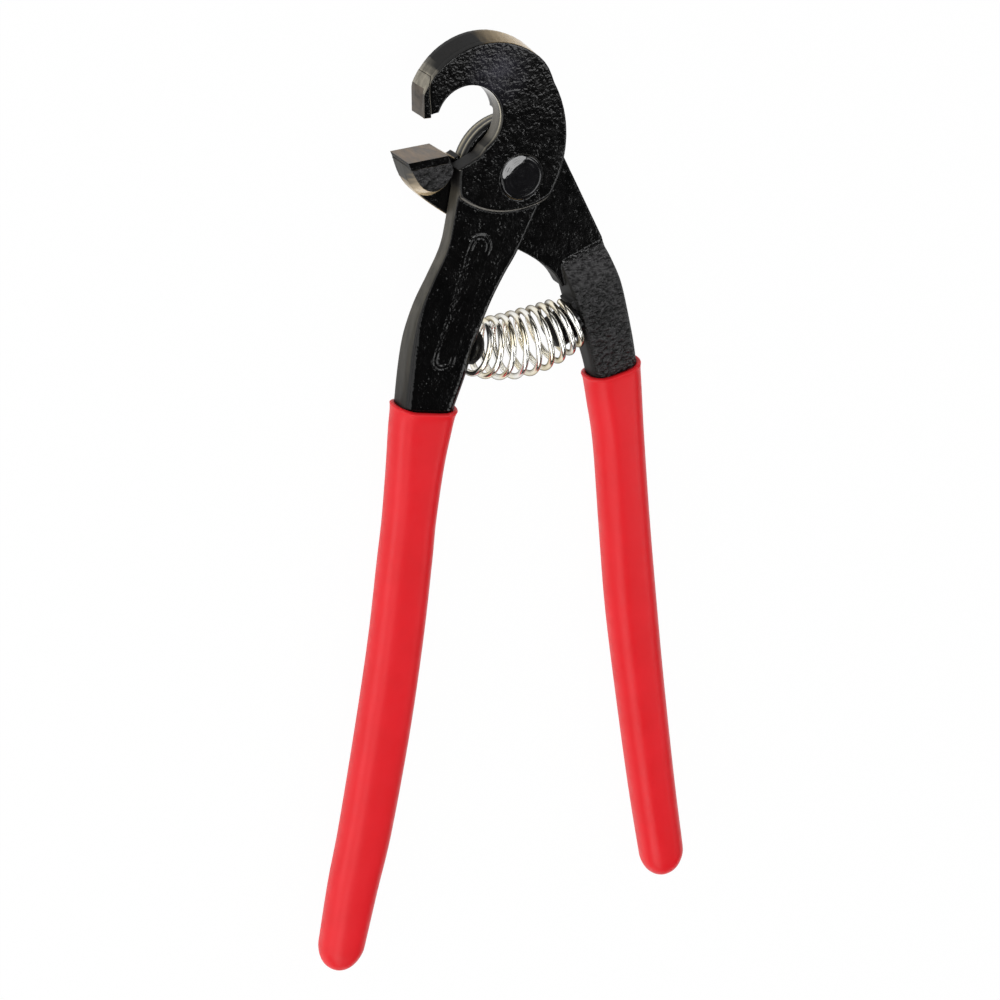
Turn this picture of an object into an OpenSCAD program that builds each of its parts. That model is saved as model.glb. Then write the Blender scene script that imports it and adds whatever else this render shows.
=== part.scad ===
// Hooked-jaw tile nipper that springs open, lying flat.
// +Y runs towards the jaws, +Z along the pivot axis, and z = 0 is the plane that it lies on.
// The origin is on the pivot axis. The model stands open, as the spring holds it. Millimetres.

/* [Arms] */
// Thickness of each arm where the two lap at the pivot
plate_t = 4.6; // [4:0.1:5.6]
// Gap between the two lapped plates
lap_gap = 0.1; // [0.05:0.05:0.2]
// Thickness of the tangs inside the grips
tang_t = 6.7; // [5.6:0.1:7.4]
// How far the shank's face lies below the face of the hook's head
shank_step = 0.6; // [0.3:0.1:1]
// Width of the hook arm at the mouth of its grip
hook_neck_w = 12.2; // [10.5:0.1:13.5]
// Width of the anvil arm at the mouth of its grip
anvil_neck_w = 10.8; // [9.5:0.1:12]
// Width of both tangs at the middle of the hand
tang_w = 10; // [8.5:0.1:11]

/* [Hook jaw] */
// Outer radius of the hook
hook_r = 15.5; // [14.9:0.1:16]
// Radius of the throat inside the hook
throat_r = 7; // [6.4:0.1:7.6]
// Thickness of the hook at its cutting end
hook_nose_t = 6.4; // [5.2:0.1:7]
// Step from the hook's lower lip down to the edge of its hard tip
lip_step = 0.6; // [0.2:0.1:1]
// Chamfer round the head's front edge
head_chamfer = 1.1; // [0.4:0.1:1.3]
// Broken edge round the throat's front
throat_break = 0.2; // [0.1:0.05:0.5]

/* [Anvil jaw] */
// Thickness of both hard tips under their ground faces
tip_t = 1.5; // [1.2:0.1:2.2]
// Radius of the anvil arm's boss round the pivot
boss_r = 11.4; // [10.6:0.1:11.8]
// Chamfer round the boss
boss_chamfer = 0.5; // [0.2:0.1:0.8]

/* [Rivet] */
// Diameter of the rivet's shank
rivet_d = 7; // [5.6:0.1:8]
// Diameter of both rivet heads
rivet_head_d = 9.2; // [8.8:0.1:10.6]
// Depth that each head is sunk into its arm
rivet_sink = 1; // [0.6:0.1:1.6]
// Height of the front head above the hook's face
rivet_proud = 0.4; // [0.2:0.1:0.8]
// Running clearance round the rivet in the hook arm
pivot_clear = 0.05; // [0.02:0.01:0.08]

/* [Spring] */
// Distance of the hook arm's spring seat from the pivot
hook_seat_r = 37.8; // [37:0.1:38.4]
// Distance of the anvil arm's spring seat from the pivot
anvil_seat_r = 37.2; // [36.4:0.1:38]
// Wire diameter
wire_d = 1.3; // [1:0.1:1.4]
// Outer diameter of the end coil on the hook arm
hook_coil_d = 12; // [11.4:0.1:12.5]
// Outer diameter of the end coil on the anvil arm
anvil_coil_d = 11.2; // [10.8:0.1:12]
// Outer diameter of the middle coils
coil_mid_d = 14.6; // [13:0.1:15]
// Number of coils
coils = 8.5; // [7.5:1:9.5]
// Diameter of the studs inside the end coils
stud_d = 7.4; // [6:0.1:7.8]
// Length of the hook arm's stud
hook_stud_len = 2.4; // [1.6:0.1:3]
// Length of the anvil arm's stud
anvil_stud_len = 7; // [5:0.1:7.4]
// Diameter of each stud's pin in its arm
stud_pin_d = 3.6; // [2.6:0.1:4.4]
// Depth of each stud's pin in its arm
stud_pin_len = 5; // [4:0.1:6]

/* [Grips] */
// Wall of the dipped grips
grip_wall = 1.15; // [0.8:0.05:1.2]
// Rounded length of plastic past the end of each tang
grip_end = 6.5; // [4:0.5:8]

/* [Hidden] */
$fn = 96;
eps = 0.01;
seat_gap = 0.02;
stack_t = 2 * plate_t + lap_gap;
front_z = plate_t + lap_gap;
mid_z = stack_t / 2;
shank_z = stack_t - shank_step;
tang_z0 = mid_z - tang_t / 2;
tang_z1 = mid_z + tang_t / 2;
sweep_gap = 0.4;

// Head of the hook arm: three large arcs about these centres, and one about the pivot
hook_c = [-7.1, 13.7];
throat_c = [-11.35, 12.9];
flank_c = [-12.3, 7.5];
flank_r = 22.8;
chin_c = [-1.8, 10.5];
chin_r = 17.6;
head_r = 13.7;
chin_chamfer = 0.4;
hook_face_x = -21.1;
hook_face_y = 14.5;
lip = [-17.9, 15.4];
heel = [-14.1, 3.2];
// Where the hook's back ends its full thickness, and where it is down to the lap plane
nose_near = [-8, 3];

// Anvil jaw
anvil_out = [-24.6, 6];
anvil_in = [-16.1, 6.5];

// Spring seats: the angle of each about the pivot
hook_seat_a = -105.3;
anvil_seat_a = -66.2;
hook_seat = hook_seat_r * [cos(hook_seat_a), sin(hook_seat_a)];
anvil_seat = anvil_seat_r * [cos(anvil_seat_a), sin(anvil_seat_a)];
seat_span = norm(anvil_seat - hook_seat);
seat_lean = atan2(anvil_seat.y - hook_seat.y, anvil_seat.x - hook_seat.x);
bow = 24;
bow_r = seat_span / (2 * sin(bow));
spring_z = mid_z + 0.2;
pad_t = 5;
pad_d = 4;
pad_in = 0.7;
seat_h = 5.6;

// Stations down each arm: centre x and y, width, back z, front z, front and back corner radius
hook_stations = [
    [-4.5, -3.4, 19, front_z, shank_z, 0.6, 0.4],
    [-7.5, -12, 16.5, front_z, shank_z, 0.6, 0.4],
    [-9.9, -17.2, 14.8, front_z, shank_z, 0.6, 0.4],
    [-12.7, -22.4, 14.7, front_z, shank_z, 0.7, 0.5],
    [-15.2, -28, 15, front_z - 0.9, shank_z - 0.1, 1, 0.8],
    [-16.8, -34, 14.9, tang_z0 + 1, shank_z - 0.3, 1.8, 1.2],
    [-18.4, -41, 13.8, tang_z0 + 0.2, tang_z1 + 0.2, 2, 1.5],
    [-20.1, -48.2, hook_neck_w, tang_z0, tang_z1, 2.2, 1.8],
    [-21.2, -54, hook_neck_w - 0.9, tang_z0, tang_z1, 2.2, 2.2],
    [-22.4, -62, tang_w + 0.2, tang_z0, tang_z1, 2.2, 2.2],
    [-24, -74.3, tang_w - 0.5, tang_z0, tang_z1, 2.2, 2.2],
    [-25.2, -84, tang_w - 0.2, tang_z0, tang_z1, 2.2, 2.2],
    [-27.7, -103, tang_w, tang_z0, tang_z1, 2.2, 2.2],
    [-31.4, -125.5, tang_w + 0.3, tang_z0, tang_z1, 2.2, 2.2],
    [-36.3, -151, tang_w + 0.1, tang_z0, tang_z1, 2.2, 2.2],
    [-39.6, -165, tang_w - 0.4, tang_z0, tang_z1, 2.2, 2.2],
    [-43, -181, tang_w - 1.4, tang_z0, tang_z1, 2.2, 2.2]
];
anvil_stations = [
    [14.9, -15.6, 9.6, 0.05, plate_t, 0.4, 0.6],
    [16.3, -19.4, 10.2, 0.05, plate_t, 0.4, 0.6],
    [17.6, -22.9, 10.9, 0.05, plate_t + 1.4, 0.5, 0.6],
    [18.6, -26.2, 11.2, 0.12, tang_z1 - 0.4, 0.8, 0.8],
    [19.7, -29.8, 11.4, 0.3, tang_z1 + 0.2, 1.2, 1],
    [21.6, -36.5, 11.2, 0.9, tang_z1 + 0.3, 1.6, 1.3],
    [23.2, -42.2, 11, tang_z0, tang_z1 + 0.1, 1.9, 1.6],
    [24.3, -47.2, anvil_neck_w, tang_z0, tang_z1, 2.2, 2],
    [25.3, -54, anvil_neck_w - 0.6, tang_z0, tang_z1, 2.2, 2.2],
    [26.8, -65.4, tang_w - 0.7, tang_z0, tang_z1, 2.2, 2.2],
    [28.9, -85.8, tang_w - 0.5, tang_z0, tang_z1, 2.2, 2.2],
    [31.3, -107, tang_w - 0.1, tang_z0, tang_z1, 2.2, 2.2],
    [34.4, -129.6, tang_w - 0.4, tang_z0, tang_z1, 2.2, 2.2],
    [38.9, -159.3, tang_w - 0.8, tang_z0, tang_z1, 2.2, 2.2],
    [42.6, -181, tang_w - 1.2, tang_z0, tang_z1, 2.2, 2.2]
];
steps = 2;
mouth_station = 7;
mouth = mouth_station * steps;

// Lower edge of the anvil arm's lapped plate, from the jaw's outer corner to the shank
anvil_belly = [anvil_out, [-22.9, 0.9], [-19.7, -3.1], [-13, -8.3], [-4, -13.9], [4, -18.6],
    [9.7, -23.2], [12.2, -27]];
// Raised cheek of the anvil jaw: its foot on the lapped plate and its smaller front face
cheek_foot = [anvil_out, [-23.6, 2.6], [-21.6, -1], [-18.6, -2.6], [-15.6, -1.4], [-14.4, 2],
    anvil_in];
cheek_face = [anvil_out, [-23.2, 3], [-21.4, 0.4], [-18.9, -0.5], [-16.4, 0.8], [-14.9, 3.4],
    anvil_in];

// A smooth curve through a list of stations, whatever each one holds
function between(p, k, t) =
    let(a = p[max(k - 1, 0)], b = p[k], c = p[k + 1], d = p[min(k + 2, len(p) - 1)])
    0.5 * (2 * b + (c - a) * t + (2 * a - 5 * b + 4 * c - d) * t * t
        + (3 * b - 3 * c + d - a) * t * t * t);
function smooth(p, n) = [
    for (k = [0 : len(p) - 2], i = [0 : n - 1]) between(p, k, i / n),
    p[len(p) - 1]
];
function unit(v) = v / norm(v);
function way(p, k) =
    let(a = p[max(k - 1, 0)], b = p[min(k + 1, len(p) - 1)])
    unit([b[0] - a[0], b[1] - a[1]]);

// One rounded rectangle square to the path, grown outwards by a wall
corner_steps = 2;
function corner(c, r, a) = [
    for (i = [0 : corner_steps]) c + r * [cos(a + i * 90 / corner_steps), sin(a + i * 90 / corner_steps)]
];
function outline(w, z0, z1, rf, rb) = concat(
    corner([w / 2 - rf, z1 - rf], rf, 0),
    corner([rf - w / 2, z1 - rf], rf, 90),
    corner([rb - w / 2, z0 + rb], rb, 180),
    corner([w / 2 - rb, z0 + rb], rb, 270)
);
function ring(s, d, grow) = [
    for (q = outline(s[2] + 2 * grow, s[3] - grow, s[4] + grow, s[5] + grow, s[6] + grow))
        [s[0] - d.y * q[0], s[1] + d.x * q[0], q[1]]
];
function rings(p, grow, first) = [
    for (k = [first : len(p) - 1]) ring(p[k], way(p, k), grow)
];

// The skin over a list of rings that have the same number of points
module skin(list) {
    n = len(list[0]);
    last = len(list) - 1;
    polyhedron(
        points = [for (r = list, q = r) q],
        faces = concat(
            [[for (i = [0 : n - 1]) i]],
            [for (k = [0 : last - 1], i = [0 : n - 1])
                [k * n + i, (k + 1) * n + i, k * n + (i + 1) % n]],
            [for (k = [0 : last - 1], i = [0 : n - 1])
                [k * n + (i + 1) % n, (k + 1) * n + i, (k + 1) * n + (i + 1) % n]],
            [[for (i = [n - 1 : -1 : 0]) last * n + i]]
        )
    );
}

// A disc with a chamfer round its front edge, its back edge or both
module puck(r, z0, z1, front, back) {
    rotate_extrude()
        polygon([[0, z0], [r - back, z0], [r, z0 + back], [r, z1 - front], [r - front, z1], [0, z1]]);
}

// Places children on a spring seat, with +Z along the spring's axis, out of the arm
module on_seat(p, lean) {
    translate([p.x, p.y, spring_z]) rotate([0, 90, lean]) children();
}
hook_seat_lean = seat_lean - bow;
anvil_seat_lean = seat_lean + bow + 180;

module seat_pad(coil_d) {
    pad_l = coil_d - 2 * pad_in;
    translate([-pad_t / 2, -pad_l / 2, -pad_d]) cube([pad_t, pad_l, pad_d]);
}

module stud_bore() {
    translate([0, 0, -stud_pin_len - seat_gap]) cylinder(d = stud_pin_d + 2 * seat_gap, h = stud_pin_len + 1);
}

// Flat seat for the spring's end coil, clear of the arm round it
module spot_face(coil_d) {
    cylinder(d = coil_d + 2 * sweep_gap, h = seat_h);
}

module stud(stud_len) {
    rotate_extrude()
        polygon([[0, -stud_pin_len], [stud_pin_d / 2, -stud_pin_len], [stud_pin_d / 2, 0],
            [stud_d / 2, 0], [stud_d / 2, stud_len - 1], [stud_d / 2 - 1, stud_len], [0, stud_len]]);
}

module rivet_bore(clear) {
    translate([0, 0, -1]) cylinder(d = rivet_d + 2 * clear, h = stack_t + 2);
}

// Plan of the throat and the open mouth of the hook
module mouth_plan() {
    tip_x = hook_face_x + tip_t;
    polygon([[hook_face_x - 5, hook_face_y], [tip_x, hook_face_y], [tip_x, hook_face_y + lip_step],
        lip, throat_c, throat_c + 0.96 * throat_r * [cos(50), -sin(50)],
        throat_c + (throat_r + 0.9) * [cos(72), -sin(72)], heel, [hook_face_x - 5, heel.y]]);
}

module hook_head() {
    difference() {
        union() {
            intersection() {
                translate(hook_c) puck(hook_r, front_z, stack_t, head_chamfer, 0);
                translate([hook_face_x - tip_t, heel.y, 0]) cube([3 * hook_r, 3 * hook_r, 2 * stack_t]);
            }
            intersection() {
                translate(flank_c) puck(flank_r, front_z, stack_t, head_chamfer, 0);
                translate(chin_c) puck(chin_r, front_z, stack_t, chin_chamfer, 0);
                union() {
                    puck(head_r, front_z, stack_t, chin_chamfer, 0);
                    translate([0, -head_r, front_z]) cube([2 * head_r, 3 * head_r, stack_t]);
                }
            }
            hook_nose();
        }
        translate([throat_c.x, throat_c.y, 0]) {
            cylinder(r = throat_r, h = stack_t + 1);
            translate([0, 0, stack_t - throat_break])
                cylinder(r1 = throat_r, r2 = throat_r + 2 * throat_break, h = 2 * throat_break);
        }
        linear_extrude(stack_t + 1) mouth_plan();
        translate([hook_face_x - hook_r, 0, 0]) cube([hook_r, 3 * hook_r, 2 * stack_t]);
    }
}

// The hook thickens backwards towards its cutting end, so that it meets the middle of the anvil
module hook_nose() {
    nose_z = stack_t - hook_nose_t;
    intersection() {
        translate(hook_c) puck(hook_r, nose_z, front_z + eps, 0, 0.5);
        translate([0, hook_c.y + 2 * hook_r, 0]) rotate([90, 0, 0]) linear_extrude(2 * hook_r)
            polygon([[-2 * hook_r, nose_z], [nose_near.x, nose_z], [nose_near.y, front_z + eps],
                [-2 * hook_r, front_z + eps]]);
    }
}

// The hard tip is the last slice of the hook, behind its ground face
module hook_tip_zone() {
    translate([hook_face_x - 1, hook_face_y - 1, 0]) cube([tip_t + 1, 2 * hook_r, stack_t + 1]);
}

module hook_arm() {
    color("#1b1a19")
        difference() {
            union() {
                hook_head();
                skin(rings(smooth(hook_stations, steps), 0, 0));
                on_seat(hook_seat, hook_seat_lean) seat_pad(hook_coil_d);
            }
            rivet_bore(pivot_clear);
            translate([0, 0, stack_t - rivet_sink]) cylinder(d = rivet_head_d + 2 * pivot_clear, h = 5);
            on_seat(hook_seat, hook_seat_lean) {
                stud_bore();
                spot_face(hook_coil_d);
            }
            hook_tip_zone();
        }
}

module hook_tip() {
    color("#7c756c") intersection() {
        hook_head();
        hook_tip_zone();
    }
}

module anvil_plan() {
    polygon(concat(
        smooth(anvil_belly, 4),
        [[22.4, -20.6], [21.4, -17.2], [12.2, 1.1], [9, 7], [-9, 6], [-12.6, 4.2], anvil_in]
    ));
}

module anvil_cheek() {
    foot = smooth(cheek_foot, 3);
    face = smooth(cheek_face, 3);
    difference() {
        skin([[for (q = foot) [q.x, q.y, plate_t - eps]], [for (q = face) [q.x, q.y, stack_t]]]);
        translate([0, 0, plate_t]) cylinder(r = head_r + sweep_gap, h = stack_t);
    }
}

module anvil_tip_shape(past) {
    slope = unit(anvil_in - anvil_out);
    down = tip_t * [slope.y, -slope.x];
    translate([0, 0, -past]) linear_extrude(stack_t + 2 * past)
        polygon([anvil_out, anvil_out + down + [0.5, 0], anvil_in + down, anvil_in]);
}

module anvil_arm() {
    color("#1b1a19")
        difference() {
            union() {
                puck(boss_r, 0, plate_t, boss_chamfer, boss_chamfer);
                linear_extrude(plate_t) difference() {
                    anvil_plan();
                    circle(r = boss_r - 1);
                    translate([0, boss_r]) square([2 * boss_r, 2 * boss_r], center = true);
                }
                anvil_cheek();
                skin(rings(smooth(anvil_stations, steps), 0, 0));
                on_seat(anvil_seat, anvil_seat_lean) seat_pad(anvil_coil_d);
            }
            rivet_bore(seat_gap);
            translate([0, 0, -1]) cylinder(d = rivet_head_d + 2 * seat_gap, h = rivet_sink + 1);
            on_seat(anvil_seat, anvil_seat_lean) {
                stud_bore();
                spot_face(anvil_coil_d);
            }
            anvil_tip_shape(1);
        }
}

module anvil_tip() {
    color("#87796d") anvil_tip_shape(0);
}

module pivot_rivet() {
    r = rivet_head_d / 2;
    top = stack_t + rivet_proud;
    color("#2a2a2c")
        rotate_extrude()
            polygon([[0, 0], [r, 0], [r, rivet_sink], [rivet_d / 2, rivet_sink],
                [rivet_d / 2, stack_t - rivet_sink + pivot_clear],
                [r, stack_t - rivet_sink + pivot_clear], [r, stack_t],
                [r - rivet_proud, top], [0, top]]);
}

module hook_spring_stud() {
    color("#1b1a19") on_seat(hook_seat, hook_seat_lean) stud(hook_stud_len);
}

module anvil_spring_stud() {
    color("#1b1a19") on_seat(anvil_seat, anvil_seat_lean) stud(anvil_stud_len);
}

// A coat of even wall over a tang, with a rounded end past it
dome_steps = 5;
function dome(s, d, grow) = [
    for (i = [1 : dome_steps])
        let(a = i * 88 / dome_steps, c = cos(a), w = s[2] + 2 * grow, t = s[4] - s[3] + 2 * grow,
            half_w = w / 2 - grip_end * 0.7 * (1 - c), half_t = t / 2 * (0.3 + 0.7 * c),
            r = min(s[5] + grow, half_t - 0.02, half_w - 0.02))
        [for (q = outline(2 * half_w, mid_z - half_t, mid_z + half_t, r, r))
            [s[0] + d.x * grip_end * sin(a) - d.y * q[0], s[1] + d.y * grip_end * sin(a) + d.x * q[0], q[1]]]
];

module grip(stations) {
    path = smooth(stations, steps);
    last = len(path) - 1;
    difference() {
        skin(concat(rings(path, grip_wall, mouth), dome(path[last], way(path, last), grip_wall)));
        skin(rings(path, seat_gap, mouth - 1));
    }
}

module hook_grip() {
    color("#d9202c") grip(hook_stations);
}

module anvil_grip() {
    color("#d9202c") grip(anvil_stations);
}

// The spring's wire follows a helix about a bowed centreline, and both ends run straight into the seats
coil_rings = 8;
wire_sides = 6;
bow_c = hook_seat + bow_r * [cos(seat_lean - bow + 90), sin(seat_lean - bow + 90)];
function bow_a(t) = seat_lean - bow - 90 + 2 * bow * t;
lead = (wire_d + 0.1) / (bow_r * 2 * bow * PI / 180);
// Share of the length reached after a share of the turns: the end coils lie closer, most at the anvil arm
end_pitch = [0.9, 0.74];
function turned(u) =
    let(base = (end_pitch[0] + end_pitch[1]) / 2, tilt = (end_pitch[0] - end_pitch[1]) / 2)
    base * u + (1 - base) * (1 - cos(180 * u)) / 2 + tilt * sin(180 * u) / PI;
function coil_r(t) =
    let(end_d = hook_coil_d + (anvil_coil_d - hook_coil_d) * t)
    (end_d + (coil_mid_d - end_d) * sin(180 * t) - wire_d) / 2;
function on_coil(t, a) =
    let(b = bow_a(t), r = coil_r(t), reach = bow_r + r * cos(a))
    [bow_c.x + reach * cos(b), bow_c.y + reach * sin(b), spring_z + r * sin(a)];
coil_count = round(coils * coil_rings);
wire_path = concat(
    [on_coil(0.004, 0)],
    [for (i = [0 : coil_count]) on_coil(lead + (1 - 2 * lead) * turned(i / coil_count), i * 360 / coil_rings)],
    [on_coil(0.996, coils * 360)]
);
function wire_ring(k) =
    let(last = len(wire_path) - 1,
        p = wire_path[k],
        b = bow_a(k < 1 ? 0 : k > last - 1 ? 1 : lead + (1 - 2 * lead) * turned((k - 1) / coil_count)),
        ahead = [-sin(b), cos(b), 0],
        t = k < 1 || k > last - 1 ? ahead : unit(wire_path[k + 1] - wire_path[k - 1]),
        out = unit(cross(t, cross([0, 0, 1] + ahead * 0.001, t))),
        side = cross(t, out))
    [for (i = [0 : wire_sides - 1])
        p + wire_d / 2 * (cos(i * 360 / wire_sides) * out + sin(i * 360 / wire_sides) * side)];

module return_spring() {
    color("#d8d4c8") skin([for (k = [0 : len(wire_path) - 1]) wire_ring(k)]);
}

wire_gap = min([
    for (i = [0 : len(wire_path) - 6], j = [i + 5 : len(wire_path) - 1])
        norm(wire_path[i] - wire_path[j]) - wire_d
]);
echo(wire_gap = wire_gap);

anvil_arm();
anvil_tip();
anvil_grip();
anvil_spring_stud();
hook_arm();
hook_tip();
hook_grip();
hook_spring_stud();
pivot_rivet();
return_spring();
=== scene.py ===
import bpy
import bmesh
import math
import numpy as np
from mathutils import Matrix, Vector


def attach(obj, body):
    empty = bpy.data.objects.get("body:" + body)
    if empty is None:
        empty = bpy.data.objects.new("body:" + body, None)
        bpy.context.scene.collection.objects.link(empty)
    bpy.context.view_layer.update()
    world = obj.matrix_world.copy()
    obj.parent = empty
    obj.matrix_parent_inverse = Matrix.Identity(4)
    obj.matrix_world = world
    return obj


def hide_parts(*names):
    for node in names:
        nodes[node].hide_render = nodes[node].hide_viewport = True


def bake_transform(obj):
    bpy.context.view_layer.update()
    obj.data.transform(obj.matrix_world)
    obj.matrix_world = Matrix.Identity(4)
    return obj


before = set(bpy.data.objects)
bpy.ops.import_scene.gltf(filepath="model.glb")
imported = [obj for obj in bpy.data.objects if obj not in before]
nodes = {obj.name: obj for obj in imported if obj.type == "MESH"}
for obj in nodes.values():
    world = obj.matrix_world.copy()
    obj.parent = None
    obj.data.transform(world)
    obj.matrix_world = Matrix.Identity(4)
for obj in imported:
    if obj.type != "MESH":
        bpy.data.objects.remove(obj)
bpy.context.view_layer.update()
scene = bpy.context.scene
MM = 0.001
ANVIL, HOOK = "anvil_side", "hook_side"
VOXEL = 0.00022

# Sizes shared with the CAD source, in mm
FRONT_Z, PLATE_T, STACK_T, SHANK_Z = 4.7, 4.6, 9.3, 8.7
Z0, Z1 = 1.3, 8.0
MID_Z = STACK_T / 2
# A station is a cross-section of a shank: x, y, width, back z, front z, front and back corner radius
HOOK_STATIONS = [
    (-4.5, -3.4, 19, FRONT_Z, SHANK_Z, 0.6, 0.4), (-7.5, -12, 16.5, FRONT_Z, SHANK_Z, 0.6, 0.4),
    (-9.9, -17.2, 14.8, FRONT_Z, SHANK_Z, 0.6, 0.4), (-12.7, -22.4, 14.7, FRONT_Z, SHANK_Z, 0.7, 0.5),
    (-15.2, -28, 15, FRONT_Z - 0.9, SHANK_Z - 0.1, 1, 0.8),
    (-16.8, -34, 14.9, Z0 + 1, SHANK_Z - 0.3, 1.8, 1.2),
    (-18.4, -41, 13.8, Z0 + 0.2, Z1 + 0.2, 2, 1.5), (-20.1, -48.2, 12.2, Z0, Z1, 2.2, 1.8),
    (-21.2, -54, 11.3, Z0, Z1, 2.2, 2.2), (-22.4, -62, 10.2, Z0, Z1, 2.2, 2.2),
    (-24, -74.3, 9.5, Z0, Z1, 2.2, 2.2), (-25.2, -84, 9.8, Z0, Z1, 2.2, 2.2),
    (-27.7, -103, 10, Z0, Z1, 2.2, 2.2), (-31.4, -125.5, 10.3, Z0, Z1, 2.2, 2.2),
    (-36.3, -151, 10.1, Z0, Z1, 2.2, 2.2), (-39.6, -165, 9.6, Z0, Z1, 2.2, 2.2),
    (-43, -181, 8.6, Z0, Z1, 2.2, 2.2)]
ANVIL_STATIONS = [
    (14.9, -15.6, 9.6, 0.05, PLATE_T, 0.4, 0.6), (16.3, -19.4, 10.2, 0.05, PLATE_T, 0.4, 0.6),
    (17.6, -22.9, 10.9, 0.05, PLATE_T + 1.4, 0.5, 0.6), (18.6, -26.2, 11.2, 0.12, Z1 - 0.4, 0.8, 0.8),
    (19.7, -29.8, 11.4, 0.3, Z1 + 0.2, 1.2, 1), (21.6, -36.5, 11.2, 0.9, Z1 + 0.3, 1.6, 1.3),
    (23.2, -42.2, 11, Z0, Z1 + 0.1, 1.9, 1.6), (24.3, -47.2, 10.8, Z0, Z1, 2.2, 2),
    (25.3, -54, 10.2, Z0, Z1, 2.2, 2.2), (26.8, -65.4, 9.3, Z0, Z1, 2.2, 2.2),
    (28.9, -85.8, 9.5, Z0, Z1, 2.2, 2.2), (31.3, -107, 9.9, Z0, Z1, 2.2, 2.2),
    (34.4, -129.6, 9.6, Z0, Z1, 2.2, 2.2), (38.9, -159.3, 9.2, Z0, Z1, 2.2, 2.2),
    (42.6, -181, 8.8, Z0, Z1, 2.2, 2.2)]
MOUTH = 7  # the station where a grip's mouth lies


# Node graphs
class Graph:
    """A cleared node tree, filled node by node."""

    def __init__(self, tree):
        self.tree = tree
        tree.nodes.clear()

    def node(self, kind, **values):
        n = self.tree.nodes.new(kind)
        for key, value in values.items():
            setattr(n, key, value)
        return n

    def link(self, a, b):
        self.tree.links.new(a, b)

    def math(self, op, a, b=None, clamp=False):
        n = self.node("ShaderNodeMath", operation=op, use_clamp=clamp)
        for i, value in enumerate((a, b)):
            if value is None:
                continue
            if isinstance(value, (int, float)):
                n.inputs[i].default_value = value
            else:
                self.link(value, n.inputs[i])
        return n.outputs[0]

    def add(self, a, b):
        return self.math("ADD", a, b)

    def sub(self, a, b):
        return self.math("SUBTRACT", a, b)

    def mul(self, a, b):
        return self.math("MULTIPLY", a, b)

    def shader(self, kind, color, strength=None):
        n = self.node(kind)
        n.inputs["Color"].default_value = (*color, 1)
        if strength is not None:
            n.inputs["Strength"].default_value = strength
        return n.outputs[0]

    def mix_shaders(self, share, a, b, output):
        """The output shows shader b by the share given, and a for the rest."""
        n = self.node("ShaderNodeMixShader")
        for socket, value in zip(n.inputs, (share, a, b)):
            self.link(value, socket)
        self.link(n.outputs[0], self.node(output).inputs["Surface"])


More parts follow.
